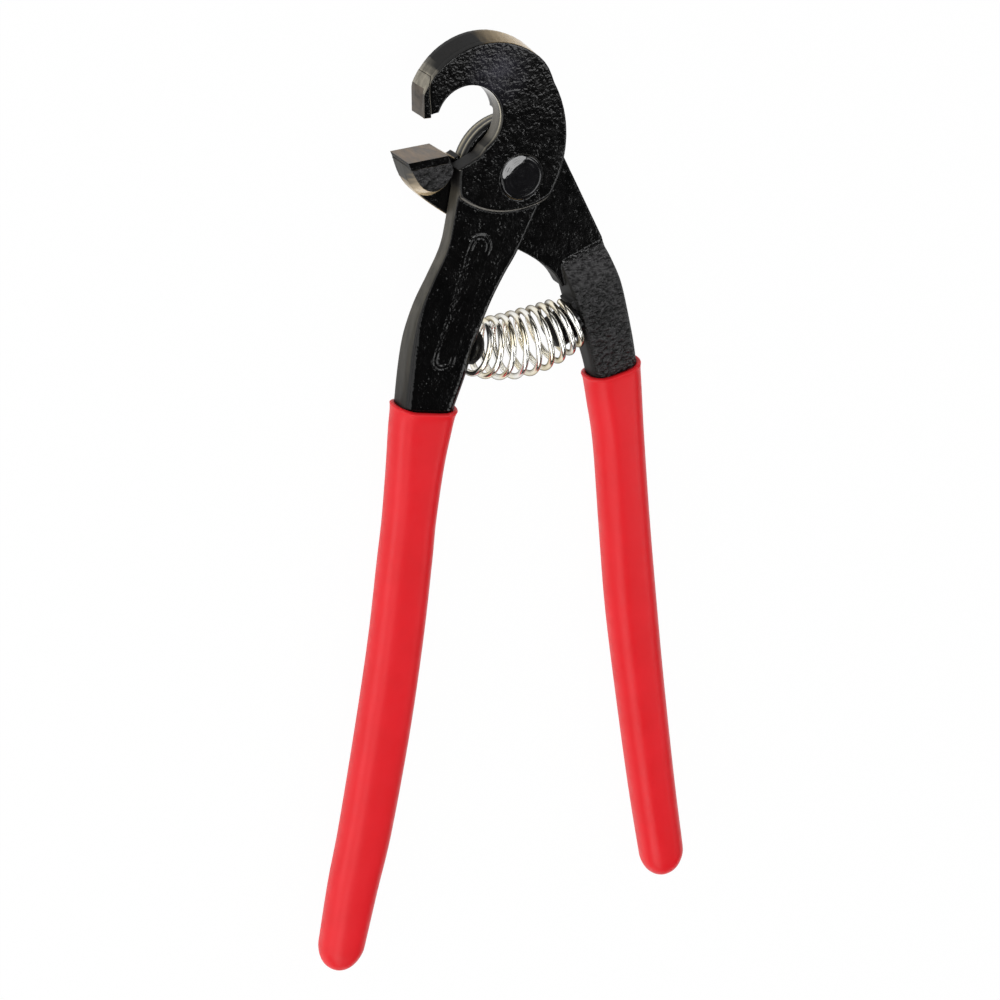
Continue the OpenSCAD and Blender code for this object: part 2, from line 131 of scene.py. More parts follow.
class Mat(Graph):
    """A principled material whose patterns lie in the object's own space.

    place and facing hold x, y and z of the point, in metres, and of its normal."""

    def __init__(self, name):
        self.material = bpy.data.materials.new(name)
        self.material.use_nodes = True
        super().__init__(self.material.node_tree)
        self.principled = self.node("ShaderNodeBsdfPrincipled")
        self.link(self.principled.outputs[0], self.node("ShaderNodeOutputMaterial").inputs["Surface"])
        coordinates = self.node("ShaderNodeTexCoord")
        self.co, self.normal = coordinates.outputs["Object"], coordinates.outputs["Normal"]
        self.place, self.facing = self.split(self.co), self.split(self.normal)

    def split(self, vector):
        sep = self.node("ShaderNodeSeparateXYZ")
        self.link(vector, sep.inputs[0])
        return tuple(sep.outputs)

    def set(self, **values):
        for key, value in values.items():
            self.principled.inputs[key.replace("_", " ")].default_value = value

    def feed(self, name, socket):
        self.link(socket, self.principled.inputs[name])

    def fed(self, name):
        return self.principled.inputs[name].links[0].from_socket

    def noise(self, scale, detail=2.0, rough=0.5, stretch=None):
        n = self.node("ShaderNodeTexNoise")
        n.inputs["Scale"].default_value = scale
        n.inputs["Detail"].default_value = detail
        n.inputs["Roughness"].default_value = rough
        co = self.co
        if stretch:
            mapping = self.node("ShaderNodeMapping")
            mapping.inputs["Scale"].default_value = stretch
            self.link(co, mapping.inputs["Vector"])
            co = mapping.outputs[0]
        self.link(co, n.inputs["Vector"])
        return n.outputs["Fac"]

    def voronoi(self, scale):
        n = self.node("ShaderNodeTexVoronoi")
        n.inputs["Scale"].default_value = scale
        self.link(self.co, n.inputs["Vector"])
        return n.outputs["Distance"]

    def ramp(self, fac, stops):
        n = self.node("ShaderNodeValToRGB")
        elements = n.color_ramp.elements
        while len(elements) < len(stops):
            elements.new(0.5)
        for element, (position, c) in zip(elements, stops):
            element.position = position
            element.color = (c, c, c, 1) if isinstance(c, (int, float)) else (*c, 1)
        self.link(fac, n.inputs["Fac"])
        return n.outputs["Color"]

    def patchy(self, scale, low, high, detail=3, rough=0.6, span=(0.3, 0.7), stretch=None):
        """Noise that runs from the value low to the value high over a span of its strength."""
        return self.ramp(self.noise(scale, detail, rough, stretch), [(span[0], low), (span[1], high)])

    def band(self, value, stops):
        """A ramp over a length in mm, from the first stop to the last."""
        low, high = stops[0][0], stops[-1][0]
        share = self.mul(self.sub(value, low * MM), 1.0 / ((high - low) * MM))
        return self.ramp(share, [((p - low) / (high - low), c) for p, c in stops])

    def radius(self, centre=(0.0, 0.0)):
        """The distance in the plan from a centre that is given in mm."""
        dx, dy = (self.sub(v, c * MM) for v, c in zip(self.place, centre))
        return self.math("SQRT", self.add(self.mul(dx, dx), self.mul(dy, dy)))

    def mix(self, fac, a, b, kind="RGBA"):
        n = self.node("ShaderNodeMix", data_type=kind)
        self.link(fac, n.inputs["Factor"])
        for key, value in (("A", a), ("B", b)):
            socket = [i for i in n.inputs if i.name == key and i.type == kind][0]
            if isinstance(value, (int, float)):
                value = (value, value, value)
            if isinstance(value, tuple):
                socket.default_value = (*value, 1)
            else:
                self.link(value, socket)
        return [o for o in n.outputs if o.type == kind][0]

    def bump(self, height, depth, under=None):
        """A normal for a height from 0 to 1 that is depth mm deep."""
        n = self.node("ShaderNodeBump")
        n.inputs["Distance"].default_value = depth * MM
        n.inputs["Strength"].default_value = 1.0
        self.link(height, n.inputs["Height"])
        if under is not None:
            self.link(under, n.inputs["Normal"])
        return n.outputs["Normal"]


# Black lacquer over the castings. Colours are linear, and roughness runs from 0 to 1.
FACE_TONES = (0.0010, 0.0010, 0.0011), (0.0024, 0.0023, 0.0023)
# The grey on the coarse raised faces is a painted sheen, and the lighter grey on their up-facing slopes is
# painted light
RAISED_SHEEN_TONES = (0.002, 0.002, 0.002), (0.024, 0.0232, 0.024)
RAISED_SLOPE_LIT_TONES = (0.022, 0.021, 0.022), (0.070, 0.068, 0.070)
# A blue-grey painted sheen on a patch of the near face
PAINTED_SHEEN_TONE = (0.024, 0.023, 0.032)
FLANK_TONES = (0.0015, 0.0014, 0.0012), (0.005, 0.0045, 0.004)
# A painted brown reflection on left-facing flanks, and painted highlights on top-facing and down-facing
# rims
PAINTED_REFLECTION_TONES = (0.150, 0.136, 0.104), (0.330, 0.300, 0.235)
TOP_HIGHLIGHT, LOW_HIGHLIGHT, GREY_LOW_HIGHLIGHT = (0.60, 0.43, 0.21), (0.62, 0.47, 0.27), (0.26, 0.245, 0.22)
FLANK_ROUGH, LIT_GLOSS_GAIN, GROOVE_GAIN = 0.62, 0.48, 0.25
SWELL_DEPTH, PIMPLE_DEPTH, COARSE = 0.10, 0.032, 11.5
STREAK_STRETCH = (1.0, 0.15, 1.0)
LACQUER_IOR = 1.38


def casting_pimples(m, face):
    """The height of the fine grain on the faces; a twentieth of it is left on the flanks."""
    grain = m.patchy(1250, 0.0, 1.0, detail=1.5, rough=0.5)
    specks = m.ramp(m.voronoi(1300), [(0.0, 1.0), (0.22, 0.6), (0.42, 0.0)])
    sparse = m.patchy(520, 0.0, 1.0, detail=2, rough=0.5, span=(0.47, 0.60))
    fine = m.add(m.mul(grain, 0.8), m.mul(specks, m.mul(sparse, 0.8)))
    return m.mul(fine, m.add(m.mul(face, 0.95), 0.05))


def raised_casting(m, raised_z):
    """Masks of the raised faces and of their upper slopes, and the coarse grain that they carry."""
    _, ny, nz = m.facing
    above = m.band(m.place[2], [(raised_z - 0.75, 0.0), (raised_z - 0.4, 1.0)])
    raised = m.mul(above, m.ramp(nz, [(0.50, 0.0), (0.70, 1.0)]))
    slope = m.mul(raised, m.ramp(nz, [(0.84, 1.0), (0.97, 0.0)]))
    slope = m.mul(slope, m.ramp(ny, [(0.10, 0.0), (0.30, 1.0)]))
    coarse = m.patchy(1000, 0.0, 1.0, 1.3, 0.55, span=(0.33, 0.67), stretch=(0.8, 1.15, 1.0))
    return raised, slope, coarse


def sheen_patch_mask(m, face, centre, radius):
    """A mask that is strongest at a centre in the plan and fades out at a radius, in mm."""
    near = m.band(m.radius(centre), [(0.0, 1.0), (radius * 0.25, 0.9), (radius * 0.65, 0.35),
                                     (radius, 0.0)])
    return m.mul(m.mul(near, face), m.patchy(330, 0.25, 1.0, span=(0.32, 0.6)))


def flank_lacquer(m, painted_flank, low_highlight):
    """Colour and roughness of the flanks: dark, with a painted brown reflection on left-facing flanks and
    painted highlights on the top and lower rims, which are also glossier.
    """
    nx, ny, _ = m.facing
    y = m.place[1]
    streak = m.noise(700, 3, 0.6, STREAK_STRETCH)
    dark = m.ramp(streak, [(0.3, FLANK_TONES[0]), (0.7, FLANK_TONES[1])])
    if not painted_flank:
        return dark, FLANK_ROUGH
    painted_brown = m.ramp(streak, [(0.3, PAINTED_REFLECTION_TONES[0]), (0.7, PAINTED_REFLECTION_TONES[1])])
    left = m.mul(m.ramp(m.mul(nx, -1.0), [(0.66, 0.0), (0.80, 1.0)]), m.band(y, painted_flank))
    rightward = m.add(m.mul(nx, 0.5), 0.5)
    top = m.mul(m.ramp(rightward, [(0.44, 0.0), (0.58, 0.5), (0.70, 1.0)]),
                m.ramp(ny, [(0.55, 0.0), (0.75, 1.0)]))
    low = m.mul(m.ramp(m.mul(ny, -1.0), [(0.40, 0.0), (0.75, 1.0)]),
                m.band(y, [(-16.0, 0.0), (-14.0, 1.0)]))
    tone = m.mix(left, dark, painted_brown)
    tone = m.mix(low, tone, low_highlight)
    tone = m.mix(top, tone, TOP_HIGHLIGHT)
    lit = m.math("MAXIMUM", left, m.math("MAXIMUM", top, low))
    return tone, m.sub(FLANK_ROUGH, m.mul(lit, LIT_GLOSS_GAIN))


def turned_wall(m, centre, inner, outer, fade):
    """A mask of a turned wall round a centre in the plan, fading over y, in mm."""
    edge = 0.2
    ring = m.band(m.radius(centre), [(inner - edge, 0.0), (inner, 1.0), (outer, 1.0), (outer + edge, 0.0)])
    return m.mul(ring, m.band(m.place[1], fade))


def cast_black(name, pimple=1.0, gloss=0.12, raised_z=None, grooves=None, painted_flank=None, sheen_patch=None,
               low_highlight=LOW_HIGHLIGHT):
    """Black lacquer over a pimpled casting with smooth flanks.

    pimple scales the depth of the grain, and gloss is the roughness of the faces;
    raised_z is the height from which the faces are coarse and carry a painted grey sheen, with painted
    light on their up-facing slopes;
    grooves is (centre, inner radius, outer radius, colours over z, fade over y) of a turned wall, whose
    colour bands are painted highlights;
    painted_flank gives, as stops over y, how strongly a painted brown reflection lies on the left flank;
    sheen_patch is (centre, radius) of a rougher patch of the face whose tone is a painted sheen."""
    m = Mat(name)
    face = m.ramp(m.math("ABSOLUTE", m.facing[2]), [(0.72, 0.0), (0.93, 1.0)])
    height = casting_pimples(m, face)
    rough = m.patchy(420, gloss - 0.04, gloss + 0.06)
    tone = m.patchy(260, *FACE_TONES, detail=4, rough=0.65)
    if raised_z is not None:
        raised, slope, coarse = raised_casting(m, raised_z)
        height = m.add(height, m.mul(m.mul(coarse, raised), COARSE))
        rough = m.mix(raised, rough, m.patchy(600, 0.26, 0.36))
        # Painted sheen on the raised faces, and painted light on their up-facing slopes
        for mask, (low, high) in ((raised, RAISED_SHEEN_TONES), (slope, RAISED_SLOPE_LIT_TONES)):
            tone = m.mix(mask, tone, m.ramp(coarse, [(0.2, low), (0.8, high)]))
    # A patch of the face is rougher, and its tone is a painted sheen
    if sheen_patch is not None:
        patch = sheen_patch_mask(m, face, *sheen_patch)
        rough = m.mix(patch, rough, m.patchy(500, 0.15, 0.30))
        tone = m.mix(patch, tone, PAINTED_SHEEN_TONE)
        height = m.mul(height, m.add(m.mul(patch, 1.2), 1.0))
    m.feed("Normal", m.bump(height, PIMPLE_DEPTH * pimple, m.bump(m.noise(120), SWELL_DEPTH)))
    side, dull = flank_lacquer(m, painted_flank, low_highlight)
    if grooves:
        centre, inner, outer, lines, fade = grooves
        wall = turned_wall(m, centre, inner, outer, fade)
        # The wall's colour bands are painted highlights
        side = m.mix(wall, side, m.band(m.place[2], lines))
        dull = m.math("SUBTRACT", dull, m.mul(wall, GROOVE_GAIN), clamp=True)
    m.feed("Base Color", m.mix(face, side, tone))
    m.feed("Roughness", m.mix(face, dull, rough))
    m.set(IOR=LACQUER_IOR)
    return m


GRIND_STRETCH, GRIND_DEPTH, GRIND_ROUGH = (1.0, 0.6, 0.28), 0.04, (0.30, 0.48)
GROUND_FROM = 0.93  # the cosine of the angle within which a face counts as ground


def ground_metal(name, toward, light, painted_flank=None):
    """Bare ground metal where a face turns toward a direction, black lacquer elsewhere.

    light is the metal's colour, and painted_flank is what cast_black takes; it paints a brown reflection
    on the left flanks."""
    m = cast_black(name, painted_flank=painted_flank)
    dot = m.node("ShaderNodeVectorMath", operation="DOT_PRODUCT")
    dot.inputs[1].default_value = toward
    m.link(m.normal, dot.inputs[0])
    ground = m.math("GREATER_THAN", dot.outputs["Value"], GROUND_FROM)
    lines = m.noise(900, 2, 0.6, GRIND_STRETCH)
    scratch = m.ramp(lines, [(0.35, 0.45), (0.5, 0.88), (0.65, 1.30)])
    tone = m.node("ShaderNodeVectorMath", operation="SCALE")
    tone.inputs[0].default_value = light
    m.link(m.mul(m.patchy(260, 0.75, 1.0), scratch), tone.inputs["Scale"])
    rough = m.ramp(lines, [(0.3, GRIND_ROUGH[0]), (0.7, GRIND_ROUGH[1])])
    m.feed("Base Color", m.mix(ground, m.fed("Base Color"), tone.outputs[0]))
    m.feed("Roughness", m.mix(ground, m.fed("Roughness"), rough))
    m.feed("Metallic", ground)
    m.feed("Normal", m.mix(ground, m.fed("Normal"), m.bump(lines, GRIND_DEPTH), "VECTOR"))
    return m


def red_plastic():
    """Dipped plastic: an even red with faint swells."""
    m = Mat("red_dipped_plastic")
    m.feed("Base Color", m.patchy(90, (0.74, 0.010, 0.016), (0.79, 0.012, 0.020), rough=0.5))
    m.feed("Roughness", m.patchy(500, 0.38, 0.46, detail=2, rough=0.5, span=(0.35, 0.65)))
    m.feed("Normal", m.bump(m.noise(1500), 0.004, m.bump(m.noise(70), 0.18)))
    m.set(IOR=1.38, Subsurface_Weight=0.08, Subsurface_Scale=0.002, Subsurface_Radius=(1.0, 0.2, 0.1))
    return m


def bright_wire():
    """Bright plating, yellowish in places."""
    m = Mat("bright_plated_wire")
    m.feed("Base Color", m.patchy(160, (0.95, 0.87, 0.68), (0.98, 0.97, 0.92), detail=2, rough=0.5,
                                  span=(0.38, 0.54)))
    m.feed("Roughness", m.patchy(900, 0.17, 0.22, detail=2))
    m.feed("Normal", m.bump(m.noise(1400), 0.003))
    # The near-black specular tint darkens the wire's edges at grazing angles, a painted dark reflection
    m.set(Metallic=1.0, Specular_Tint=(0.05, 0.035, 0.02, 1))
    return m


def rivet_black():
    """Smooth lacquer over a turned head, with turning rings that show in places."""
    m = Mat("rivet_lacquer")
    ring_rate = 7000.0
    rings = m.math("SINE", m.mul(m.radius(), ring_rate))
    partly = m.patchy(330, 0.0, 1.0, detail=1, rough=0.5, span=(0.45, 0.62))
    turned_face = m.bump(m.mul(rings, partly), 0.008)
    m.feed("Normal", m.bump(m.noise(260), 0.025, turned_face))
    m.feed("Base Color", m.patchy(300, (0.0025, 0.0025, 0.003), (0.006, 0.006, 0.007)))
    m.feed("Roughness", m.patchy(700, 0.08, 0.15))
    return m


# Where the castings are raised and turned, and where painted reflections, highlights and sheen lie, in mm
RAISED_Z = 5.4
BLACK, GROOVE_SHEEN, GROOVE_HIGHLIGHT = (0.002, 0.002, 0.002), (0.105, 0.094, 0.076), (0.62, 0.56, 0.40)
# The colour bands over z on the throat wall and the boss rim paint the highlights of their turning
# grooves; on the throat they fade out towards low y
THROAT_GROOVES = (
    (-11.35, 12.9), 6.2, 8.2,
    [(4.9, BLACK), (5.3, GROOVE_SHEEN), (7.5, GROOVE_SHEEN), (7.8, BLACK), (8.2, BLACK), (8.4, GROOVE_HIGHLIGHT), (8.6, GROOVE_HIGHLIGHT),
     (8.9, BLACK)],
    [(4.0, 0.0), (9.0, 0.3), (13.0, 0.8), (17.0, 1.0)])
BOSS_GROOVES = (
    (0.0, 0.0), 10.6, 11.9,
    [(0.9, BLACK), (1.4, GROOVE_HIGHLIGHT), (2.1, GROOVE_SHEEN), (2.4, BLACK), (2.9, BLACK), (3.2, GROOVE_HIGHLIGHT), (3.6, GROOVE_SHEEN),
     (3.9, BLACK)],
    [(-12.0, 1.0), (12.0, 1.0)])
# How strongly the left flanks carry a painted brown reflection, as stops over y in mm
NEAR_FLANK_REFLECTION = [(-48.0, 0.04), (-36.0, 0.15), (-14.0, 0.28), (-2.0, 0.22), (0.0, 0.0), (5.0, 0.0),
             (8.0, 0.5), (15.0, 0.8), (17.0, 1.0)]
FAR_FLANK_REFLECTION = [(-26.0, 0.0), (-20.0, 0.18), (-6.0, 0.18), (-2.0, 0.12), (7.0, 0.12)]
# The centre and radius of the painted sheen patch on the near face, in mm
SHEEN_PATCH_AT = ((-5.3, 22.0), 7.5)
HOOK_GROUND, ANVIL_GROUND = (0.112, 0.093, 0.074), (0.200, 0.150, 0.106)
HOOK_FACING, ANVIL_FACING = (-1.0, 0.0, 0.0), (-0.06, 0.998, 0.0)

MAT_NEAR = cast_black("cast_black_near", grooves=THROAT_GROOVES, painted_flank=NEAR_FLANK_REFLECTION, sheen_patch=SHEEN_PATCH_AT,
                      low_highlight=GREY_LOW_HIGHLIGHT).material
MAT_FAR = cast_black("cast_black_far", pimple=0.8, raised_z=RAISED_Z, grooves=BOSS_GROOVES,
                     painted_flank=FAR_FLANK_REFLECTION).material
MAT_HOOK_TIP = ground_metal("hook_tip_ground", HOOK_FACING, HOOK_GROUND, NEAR_FLANK_REFLECTION).material
MAT_ANVIL_TIP = ground_metal("anvil_tip_ground", ANVIL_FACING, ANVIL_GROUND).material
MAT_RED = red_plastic().material
MAT_WIRE = bright_wire().material
MAT_RIVET = rivet_black().material
MAT_STUD = cast_black("stud_black", pimple=0.5, gloss=0.2).material


# Meshes
def mesh_object(name, verts, faces, mat, smooth=True):
    me = bpy.data.meshes.new(name)
    me.from_pydata([tuple(v) for v in verts], [], [tuple(f) for f in faces])
    bm = bmesh.new()
    bm.from_mesh(me)
    bmesh.ops.recalc_face_normals(bm, faces=bm.faces)
    bm.to_mesh(me)
    bm.free()
    me.materials.append(mat)
    if smooth:
        me.polygons.foreach_set("use_smooth", [True] * len(me.polygons))
    ob = bpy.data.objects.new(name, me)
    scene.collection.objects.link(ob)
    return ob


def vertex_values(ob, what="co"):
    values = np.zeros(len(ob.data.vertices) * 3)
    ob.data.vertices.foreach_get(what, values)
    return values.reshape(-1, 3)


def change_points(ob, change):
    ob.data.vertices.foreach_set("co", change(vertex_values(ob)).ravel())
    ob.data.update()


def mesh_arrays(ob):
    return vertex_values(ob), [tuple(p.vertices) for p in ob.data.polygons]


def joined(name, parts, mat):
    """One object from several lists of vertices and faces."""
    verts, faces, offset = [], [], 0
    for v, f in parts:
        verts.append(np.asarray(v, float))
        faces += [tuple(i + offset for i in polygon) for polygon in f]
        offset += len(v)
    return mesh_object(name, np.vstack(verts), faces, mat)


def add_melt(ob, voxel):
    remesh = ob.modifiers.new("melt", "REMESH")
    remesh.mode = "VOXEL"
    remesh.voxel_size = voxel
    remesh.use_smooth_shade = True


def add_soften(ob):
    smooth = ob.modifiers.new("soften", "SMOOTH")
    smooth.factor = 0.5
    smooth.iterations = 2


def apply_modifiers(ob):
    bpy.context.view_layer.update()
    depsgraph = bpy.context.evaluated_depsgraph_get()
    me = bpy.data.meshes.new_from_object(ob.evaluated_get(depsgraph))
    ob.modifiers.clear()
    ob.data = me


def smooth_stations(stations, steps):
    """A curve through all stations, with the same number of steps between each pair."""
    p = [np.array(s, float) for s in stations]
    out = []
    for k in range(len(p) - 1):
        a, b, c, d = p[max(k - 1, 0)], p[k], p[k + 1], p[min(k + 2, len(p) - 1)]
        for i in range(steps):
            t = i / steps
            out.append(0.5 * (2 * b + (c - a) * t + (2 * a - 5 * b + 4 * c - d) * t * t
                              + (3 * b - 3 * c + d - a) * t ** 3))
    out.append(p[-1])
    return out


def outline(w, z0, z1, rf, rb, n):
    """A rounded rectangle of width w, from z0 to z1, with n steps round each corner."""
    def corner(cx, cz, r, start):
        angles = [math.radians(start + 90 * i / n) for i in range(n + 1)]
        return [(cx + r * math.cos(a), cz + r * math.sin(a)) for a in angles]
    return (corner(w / 2 - rf, z1 - rf, rf, 0) + corner(rf - w / 2, z1 - rf, rf, 90)
            + corner(rb - w / 2, z0 + rb, rb, 180) + corner(w / 2 - rb, z0 + rb, rb, 270))


def heading(path, k):
    """The unit vector along a path of stations, in the plan."""
    d = (path[min(k + 1, len(path) - 1)] - path[max(k - 1, 0)])[:2]
    return d / np.linalg.norm(d)


def stood_up(s, d, shape, ahead=0.0):
    """A flat shape stood across the heading d at the station s, or a little ahead of it."""
    return [(s[0] + d[0] * ahead - d[1] * q, s[1] + d[1] * ahead + d[0] * q, z) for q, z in shape]


def station_ring(s, d, grow, n):
    _, _, w, z0, z1, rf, rb = s
    return stood_up(s, d, outline(w + 2 * grow, z0 - grow, z1 + grow, rf + grow, rb + grow, n))


def skin_faces(count, n, start_cap=True):
    """Faces between rings of n vertices, closed at the end and, if wanted, at the start."""
    faces = []
    for k in range(count - 1):
        for i in range(n):
            j = (i + 1) % n
            faces.append((k * n + i, (k + 1) * n + i, (k + 1) * n + j, k * n + j))
    if start_cap:
        faces.append(tuple(range(n)))
    faces.append(tuple(reversed(range((count - 1) * n, count * n))))
    return faces


def soft_step(v, low, high):
    t = np.clip((v - low) / (high - low), 0, 1)
    return t * t * (3 - 2 * t)


# Cast arms
HOOK_C, HOOK_R, HEAD_CHAMFER = (-7.1, 13.7), 15.5, 1.1
FRONT_C, FRONT_R = (-6.7, 11.7), 16.2
FLANK_C, FLANK_R, FLANK_DRAFT = (-12.3, 7.5), 22.8, 0.45
HOOK_START, HOOK_LEAN, DRAFT_REACH = (19.0, 25.0), 0.35, (0.84, 0.985)
HOOK_FACE_X = -21.1
CHIN_C, CHIN_R, CHIN_ROUND, CHIN_DROP, CHIN_Y = (-1.8, 10.5), 17.6, 0.8, 0.42, (-15.0, 2.0)
SHANK_STEPS, SHANK_CORNER, SHANK_GROW = 8, 6, 0.01
TIP_VOXEL = VOXEL * 0.6
CARTOUCHE_START, CARTOUCHE_END, CARTOUCHE_R = (-9.2, -13.6), (-17.3, -37.0), 2.4
CARTOUCHE_DEPTH, CARTOUCHE_FALL, CARTOUCHE_Z = 0.05, (-1.4, 0.4), 6.5
# Two ridges round the cartouche, faint along its sides: distance outside its edge, height, width
RIDGES, RIDGE_FAINT, RIDGE_ENDS = ((0.0, 0.16, 0.24), (-0.85, 0.14, 0.22)), 0.12, (0.44, 0.5)


def drafted(p, centre, radius, front_radius):
    """How far points move from a chamfered cylinder's wall to one that leans in to its front."""
    off = p[:, :2] - centre
    r = np.maximum(np.linalg.norm(off, axis=1), 1e-6)
    u = off / r[:, None]
    old = radius - np.maximum(p[:, 2] - (STACK_T - HEAD_CHAMFER), 0)
    rise = np.clip((p[:, 2] - FRONT_Z) / PLATE_T, 0, 1)
    new = radius + (front_radius(u) - radius) * rise
    w = soft_step(r / old, *DRAFT_REACH)
    return u * (r * (new / old - 1) * w)[:, None]


def front_circle(u):
    """The distance from the hook's centre to the circle of its front edge, along u."""
    d = np.array(FRONT_C) - np.array(HOOK_C)
    along = u @ d
    return along + np.sqrt(FRONT_R ** 2 - d @ d + along ** 2)


def flank_front(u):
    return FLANK_R - FLANK_DRAFT


def reshape_head(co):
    """The hook's rim drafted towards its front edge, and the head's lower edge rounded."""
    p = co / MM
    on_hook = soft_step(p[:, 1] - HOOK_LEAN * np.minimum(p[:, 0], 0), *HOOK_START)
    on_flank = (1 - on_hook) * (p[:, 0] > 0)
    move = drafted(p, HOOK_C, HOOK_R, front_circle) * on_hook[:, None]
    move += drafted(p, FLANK_C, FLANK_R, flank_front) * on_flank[:, None]
    move[p[:, 2] < FRONT_Z] = 0
    p[:, :2] += move
    inside = np.minimum(CHIN_R - np.linalg.norm(p[:, :2] - CHIN_C, axis=1),
                        FLANK_R - np.linalg.norm(p[:, :2] - FLANK_C, axis=1))
    chin = ((p[:, 2] > SHANK_Z + 0.1) & (p[:, 1] > CHIN_Y[0]) & (p[:, 1] < CHIN_Y[1])
            & (inside < CHIN_ROUND))
    p[chin, 2] -= (CHIN_DROP * (1 - np.maximum(inside, 0) / CHIN_ROUND) ** 2)[chin]
    near_tip = (p[:, 1] > HOOK_C[1] - 1) & (p[:, 0] < HOOK_FACE_X)
    p[near_tip, 0] = HOOK_FACE_X
    return p * MM


def cast_arm(node, stations, mat, body):
    """The CAD arm with a finer loft over its shank, melted together and softened like a casting."""
    path = smooth_stations(stations, SHANK_STEPS)
    rings = []
    for k, s in enumerate(path):
        rings += station_ring(s, heading(path, k), SHANK_GROW, SHANK_CORNER)
    loft = (np.array(rings) * MM, skin_faces(len(path), 4 * (SHANK_CORNER + 1)))
    ob = joined(node + "_cast", [mesh_arrays(nodes[node]), loft], mat)
    add_melt(ob, VOXEL)
    add_soften(ob)
    apply_modifiers(ob)
    if node == "hook_arm":
        change_points(ob, reshape_head)
    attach(ob, body)
    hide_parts(node)
    return ob


def ground_tip(node, mat, body):
    """The hard tip with the same drafted rim as the arm that it sits on."""
    ob = joined(node + "_ground", [mesh_arrays(nodes[node])], mat)
    add_melt(ob, TIP_VOXEL)
    apply_modifiers(ob)
    change_points(ob, reshape_head)
    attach(ob, body)
    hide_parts(node)


def sunk_cartouche(ob):
    """A blank recess with ridged ends, pressed into the front of the near shank."""
    a, b = np.array(CARTOUCHE_START), np.array(CARTOUCHE_END)
    axis = b - a
    faces_front = vertex_values(ob, "normal")[:, 2] > 0.8

    def press(co):
        xy = co[:, :2] / MM
        t = np.clip(((xy - a) @ axis) / (axis @ axis), 0, 1)
        off = np.linalg.norm(xy - (a + t[:, None] * axis), axis=1) - CARTOUCHE_R
        rim = sum(height * np.exp(-((off - at) / width) ** 2) for at, height, width in RIDGES)
        rim *= RIDGE_FAINT + (1 - RIDGE_FAINT) * soft_step(np.abs(t - 0.5), *RIDGE_ENDS)
        drop = CARTOUCHE_DEPTH * (1 - soft_step(off, *CARTOUCHE_FALL))
        front = faces_front & (co[:, 2] > CARTOUCHE_Z * MM)
        co[front, 2] += (rim - drop)[front] * MM
        return co

    change_points(ob, press)


hook_cast = cast_arm("hook_arm", HOOK_STATIONS, MAT_NEAR, HOOK)
cast_arm("anvil_arm", ANVIL_STATIONS, MAT_FAR, ANVIL)
sunk_cartouche(hook_cast)
ground_tip("hook_tip", MAT_HOOK_TIP, HOOK)

# Dipped grips
GRIP_WALL, GRIP_END, SEAT = 1.15, 6.5, 0.05
GRIP_ROUND, LIP, MOUTH_SAG = 4.1, 0.16, 0.7
GRIP_STEPS, GRIP_CORNER, ROLL_STEPS, END_STEPS = 10, 8, 6, 14
INSIDE = (7, 3, 0)  # steps into the mouth at which the inner wall has a ring
LIP_STEPS, SAG_STEPS = 3, 8  # steps from the mouth over which its lip and its sag fade out
END_NARROWING, END_FLATNESS, LAST_ANGLE = 0.7, 0.3, 89.0


def sagged(ring, s, d, sag):
    """The ring with the middle of its front and back drawn towards the grip's end."""
    half = s[2] / 2 + GRIP_WALL
    out = []
    for x, y, z in ring:
        q = (d[0] * (y - s[1]) - d[1] * (x - s[0])) / half
        drop = sag * (0.45 - q * q)
        out.append((x + d[0] * drop, y + d[1] * drop, z))
    return out


def grip_ring(s, d, grow):
    """A station ring of the grip, with rounder corners than the tang that it hides."""
    r = GRIP_ROUND + min(grow - GRIP_WALL, 0)
    shape = outline(s[2] + 2 * grow, s[3] - grow, s[4] + grow, r, r, GRIP_CORNER)
    return stood_up(s, d, shape)


def grip_mouth(path, first):
    """Rings from the inner wall round the rolled rim to the outside."""
    d = heading(path, first)
    verts = []
    for steps in INSIDE:
        verts += station_ring(path[first + steps], d, SEAT, GRIP_CORNER)
    middle, r = (GRIP_WALL + LIP + SEAT) / 2, (GRIP_WALL + LIP - SEAT) / 2
    for i in range(ROLL_STEPS + 1):
        a = math.radians(-90 + 180 * i / ROLL_STEPS)
        s = np.array(path[first])
        s[:2] -= d * (r * math.cos(a) - r * 0.98)
        verts += sagged(grip_ring(s, d, middle + r * math.sin(a)), s, d, MOUTH_SAG)
    return verts


def grip_end(s, d):
    """Rings that close the grip with a blunt rounded end."""
    verts = []
    width, thickness = s[2] + 2 * GRIP_WALL, s[4] - s[3] + 2 * GRIP_WALL
    for i in range(1, END_STEPS + 1):
        a = math.radians(LAST_ANGLE * i / END_STEPS)
        c = math.cos(a)
        half_w = width / 2 - GRIP_END * END_NARROWING * (1 - c)
        half_t = thickness / 2 * (END_FLATNESS + (1 - END_FLATNESS) * c)
        r = min(GRIP_ROUND, half_t - 0.02, half_w - 0.02)
        shape = outline(2 * half_w, MID_Z - half_t, MID_Z + half_t, r, r, GRIP_CORNER)
        verts += stood_up(s, d, shape, GRIP_END * math.sin(a))
    return verts


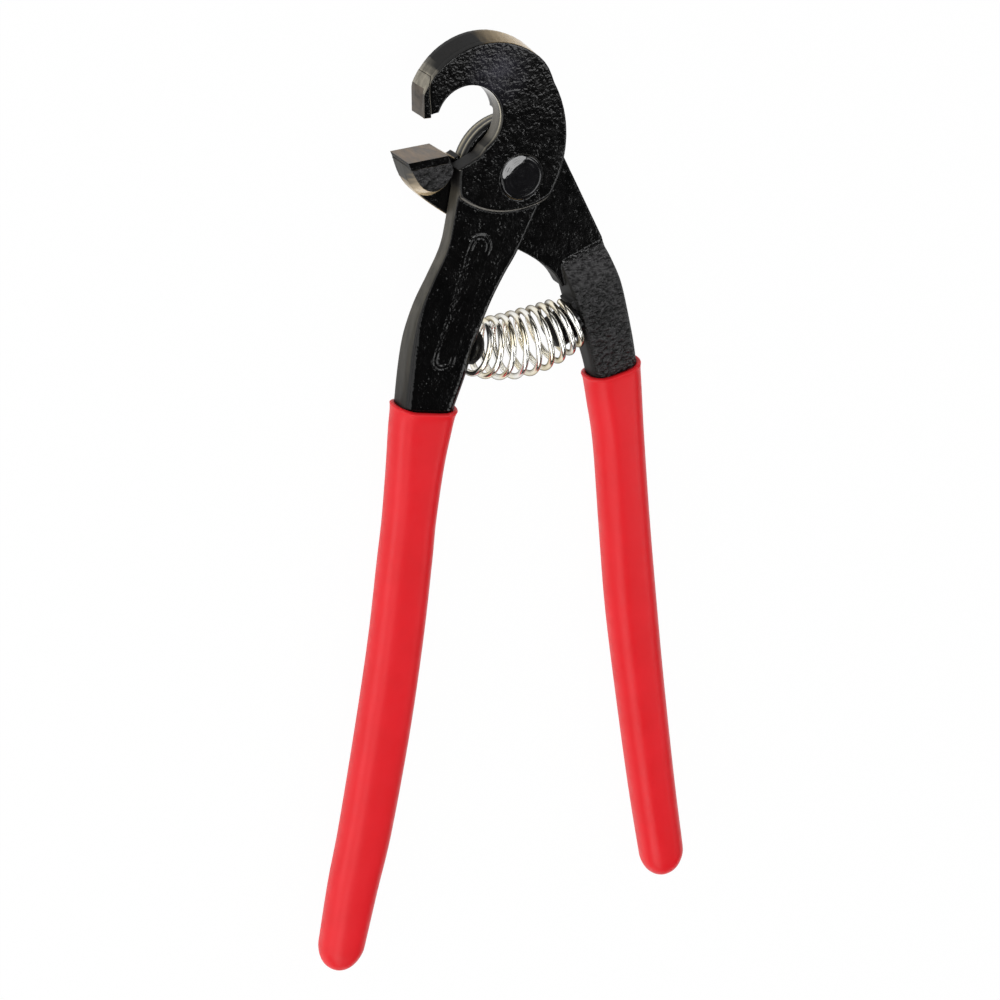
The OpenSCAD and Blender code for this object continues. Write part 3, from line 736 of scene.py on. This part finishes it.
def dipped_grip(name, node, stations, body):
    """A sleeve with a soft rolled mouth and a blunt rounded end."""
    path = smooth_stations(stations, GRIP_STEPS)
    first = MOUTH * GRIP_STEPS
    verts = grip_mouth(path, first)
    for k in range(first + 1, len(path)):
        s, d, past = path[k], heading(path, k), k - first
        ring = grip_ring(s, d, GRIP_WALL + LIP * max(1 - past / LIP_STEPS, 0))
        verts += sagged(ring, s, d, MOUTH_SAG * max(1 - past / SAG_STEPS, 0))
    verts += grip_end(path[-1], heading(path, len(path) - 1))
    ring_n = 4 * (GRIP_CORNER + 1)
    faces = skin_faces(len(verts) // ring_n, ring_n, start_cap=False)
    ob = mesh_object(name, np.array(verts) * MM, faces, MAT_RED)
    add_soften(ob)
    apply_modifiers(ob)
    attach(ob, body)
    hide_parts(node)


dipped_grip("hook_grip_dip", "hook_grip", HOOK_STATIONS, HOOK)
dipped_grip("anvil_grip_dip", "anvil_grip", ANVIL_STATIONS, ANVIL)

# Return spring: a barrel-shaped coil on a bowed axis between two seats
HOOK_SEAT_R, HOOK_SEAT_A, ANVIL_SEAT_R, ANVIL_SEAT_A, BOW = 37.8, -105.3, 37.2, -66.2, 24.0
WIRE_D, HOOK_COIL_D, ANVIL_COIL_D, MID_D, COILS = 1.3, 12.0, 11.2, 14.6, 8.5
END_PITCH = (0.9, 0.74)  # the pitch at the hook's and at the anvil's end, against the mean
SPRING_Z = MID_Z + 0.2
STEPS_PER_COIL, WIRE_SIDES = 72, 20


def polar(r, degrees):
    return r * np.array([math.cos(math.radians(degrees)), math.sin(math.radians(degrees))])


def unit(v):
    return v / np.linalg.norm(v)


hook_seat, anvil_seat = polar(HOOK_SEAT_R, HOOK_SEAT_A), polar(ANVIL_SEAT_R, ANVIL_SEAT_A)
span = np.linalg.norm(anvil_seat - hook_seat)
lean = math.degrees(math.atan2(anvil_seat[1] - hook_seat[1], anvil_seat[0] - hook_seat[0]))
bow_r = span / (2 * math.sin(math.radians(BOW)))
bow_c = hook_seat + polar(bow_r, lean - BOW + 90)
lead = (WIRE_D + 0.1) / (bow_r * math.radians(2 * BOW))


def bow_angle(t):
    """The angle about the bow's centre at a share of the way from the hook's seat."""
    return math.radians(lean - BOW - 90 + 2 * BOW * t)


def on_coil(t, turn):
    b = bow_angle(t)
    end_d = HOOK_COIL_D + (ANVIL_COIL_D - HOOK_COIL_D) * t
    r = (end_d + (MID_D - end_d) * math.sin(math.pi * min(max(t, 0), 1)) - WIRE_D) / 2
    a = math.radians(turn * 360)
    reach = bow_r + r * math.cos(a)
    return np.array([bow_c[0] + reach * math.cos(b), bow_c[1] + reach * math.sin(b),
                     SPRING_Z + r * math.sin(a)])


def advance(u):
    """The share of the bow at a share u of the wire: slower at both ends, where coils close up."""
    base, tilt = (END_PITCH[0] + END_PITCH[1]) / 2, (END_PITCH[0] - END_PITCH[1]) / 2
    share = (base * u + (1 - base) * (1 - math.cos(math.pi * u)) / 2
             + tilt * math.sin(math.pi * u) / math.pi)
    return lead + (1 - 2 * lead) * share


def spring_mesh():
    count = int(COILS * STEPS_PER_COIL)
    points = [on_coil(advance(i / count), i / STEPS_PER_COIL) for i in range(count + 1)]
    verts = []
    for k, p in enumerate(points):
        along = unit(points[min(k + 1, count)] - points[max(k - 1, 0)])
        b = bow_angle(advance(k / count))
        hub = np.array([bow_c[0] + bow_r * math.cos(b), bow_c[1] + bow_r * math.sin(b), SPRING_Z])
        out = p - hub
        out = unit(out - along * np.dot(out, along))
        side = np.cross(along, out)
        for i in range(WIRE_SIDES):
            a = 2 * math.pi * i / WIRE_SIDES
            verts.append(p + WIRE_D / 2 * (math.cos(a) * out + math.sin(a) * side))
    return np.array(verts) * MM, skin_faces(count + 1, WIRE_SIDES)


spring = mesh_object("return_spring_wire", *spring_mesh(), MAT_WIRE)
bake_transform(spring)
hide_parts("return_spring")

# Rivet: a shaft with a low head at each end, and a facet struck across the front one
SHAFT_R, R_HEAD, TOP = 3.5, 4.6, STACK_T + 0.4
BACK_HEAD_T, HEAD_Z = 1.0, 8.35
FACET_TOWARD, FACET_REACH, FACET_TILT = 127.0, 2.5, 16.0
RIVET_PROFILE = [
    (0.0, 0.0), (4.3, 0.0), (4.55, 0.1), (R_HEAD, 0.3), (R_HEAD, BACK_HEAD_T), (SHAFT_R, BACK_HEAD_T),
    (SHAFT_R, HEAD_Z), (R_HEAD, HEAD_Z), (R_HEAD, TOP - 0.45), (4.56, TOP - 0.28), (4.45, TOP - 0.14),
    (4.28, TOP - 0.05), (4.0, TOP - 0.01)] + [(r / 10, TOP) for r in range(38, -1, -2)]


def lathe(name, profile, mat, segments=96):
    """A profile of (radius, z) in mm, turned about z."""
    verts, faces, n = [], [], len(profile)
    for i in range(segments):
        a = 2 * math.pi * i / segments
        verts += [(r * math.cos(a) * MM, r * math.sin(a) * MM, z * MM) for r, z in profile]
        j = (i + 1) % segments
        for k in range(n - 1):
            faces.append((i * n + k, j * n + k, j * n + k + 1, i * n + k + 1))
    ob = mesh_object(name, verts, faces, mat)
    bm = bmesh.new()
    bm.from_mesh(ob.data)
    bmesh.ops.remove_doubles(bm, verts=bm.verts, dist=1e-7)
    bmesh.ops.recalc_face_normals(bm, faces=bm.faces)
    bm.to_mesh(ob.data)
    bm.free()
    return ob


def struck_facet(ob, toward, reach, tilt):
    """A slanting flat across one side of the head, left by the riveting."""
    ux, uy = polar(1.0, toward)
    for v in ob.data.vertices:
        past = (v.co.x * ux + v.co.y * uy) / MM - reach
        if past > 0 and v.co.z > STACK_T * MM:
            v.co.z = min(v.co.z, (TOP - past * math.tan(math.radians(tilt))) * MM)


rivet = lathe("pivot_rivet_turned", RIVET_PROFILE, MAT_RIVET)
struck_facet(rivet, FACET_TOWARD, FACET_REACH, FACET_TILT)
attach(rivet, ANVIL)
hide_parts("pivot_rivet")

# Pieces that keep the CAD's mesh and take a material
for node, mat in (("anvil_tip", MAT_ANVIL_TIP),
                  ("hook_spring_stud", MAT_STUD), ("anvil_spring_stud", MAT_STUD)):
    me = nodes[node].data
    me.materials.clear()
    me.materials.append(mat)

# Camera, in metres; its focal length is given in widths of the picture
EYE = Vector((-0.1771, 0.1260, 0.3678))
RIGHT = Vector((0.901745, 0.003127, 0.432258)).normalized()
AHEAD = Vector((0.388434, -0.444635, -0.807105)).normalized()
SENSOR_WIDTH, FOCAL_WIDTHS = 36.0, 2.06

cam_data = bpy.data.cameras.new("camera")
cam_data.sensor_width = SENSOR_WIDTH
cam_data.lens = SENSOR_WIDTH * FOCAL_WIDTHS
cam_data.clip_start, cam_data.clip_end = 0.01, 20.0
cam = bpy.data.objects.new("camera", cam_data)
scene.collection.objects.link(cam)
scene.camera = cam
axes = Matrix((RIGHT, RIGHT.cross(AHEAD), -AHEAD)).transposed().to_4x4()
cam.matrix_world = Matrix.Translation(EYE) @ axes

# Floor and world; the floor glows for the camera and in reflections, and is matt for other rays
FLOOR_Z, FLOOR_HALF = -0.0026, 4
WHITE, FLOOR_GREY, BACKDROP_GREY = (1, 1, 1), (0.94, 0.94, 0.94), (0.8, 0.8, 0.8)
FLOOR_GLOW, WORLD_LIGHT = 0.98, 0.04


def pale_floor():
    material = bpy.data.materials.new("pale_floor")
    material.use_nodes = True
    g = Graph(material.node_tree)
    ray = g.node("ShaderNodeLightPath").outputs
    direct = g.math("MAXIMUM", ray["Is Camera Ray"], ray["Is Glossy Ray"])
    direct = g.math("MAXIMUM", direct, ray["Is Transmission Ray"])
    g.mix_shaders(g.mul(direct, FLOOR_GLOW), g.shader("ShaderNodeBsdfDiffuse", FLOOR_GREY),
                  g.shader("ShaderNodeEmission", WHITE, 1.0), "ShaderNodeOutputMaterial")
    return material


corners = [(x * FLOOR_HALF, y * FLOOR_HALF, FLOOR_Z) for x, y in ((-1, -1), (1, -1), (1, 1), (-1, 1))]
floor = mesh_object("floor", corners, [(0, 1, 2, 3)], pale_floor(), smooth=False)

world = bpy.data.worlds.new("studio")
scene.world = world
world.use_nodes = True
sky = Graph(world.node_tree)
sky.mix_shaders(sky.node("ShaderNodeLightPath").outputs["Is Camera Ray"],
                sky.shader("ShaderNodeBackground", WHITE, WORLD_LIGHT),
                sky.shader("ShaderNodeBackground", BACKDROP_GREY, 1.0), "ShaderNodeOutputWorld")

# Lamps: name, place, aim, size, power; none stands where the arms' front faces would mirror it
LAMPS = (
    ("key_soft", (-0.75, 0.60, 0.75), (0, -0.05, 0), (1.1, 1.1), 4.9),
    ("upper_left", (-0.42, -0.44, 0.96), (0, -0.05, 0), (0.60, 0.50), 1.3),
    ("overhead", (0.10, 0.14, 1.02), (0, -0.02, 0), (0.22, 0.22), 1.35),
    ("above_right", (0.46, -0.01, 0.88), (0, -0.05, 0), (0.34, 0.26), 1.1),
    ("right_low", (0.62, -0.42, 0.66), (0, -0.08, 0), (0.36, 0.30), 0.9),
    ("fill_right", (0.85, 0.30, 0.45), (0, -0.05, 0), (0.5, 0.5), 2.2),
    ("front_soft", (-0.30, -0.85, 0.65), (0, -0.05, 0), (0.8, 0.5), 3.0),
    ("left_low", (-0.90, -0.20, 0.40), (0, -0.08, 0), (0.9, 0.5), 4.3))
for name, place, aim, size, power in LAMPS:
    lamp = bpy.data.lights.new(name, "AREA")
    lamp.shape = "RECTANGLE"
    lamp.size, lamp.size_y = size
    lamp.energy = power
    stand = bpy.data.objects.new(name, lamp)
    scene.collection.objects.link(stand)
    stand.location = place
    stand.rotation_mode = "QUATERNION"
    stand.rotation_quaternion = (Vector(aim) - Vector(place)).to_track_quat("-Z", "Y")

scene.view_settings.view_transform = "Standard"
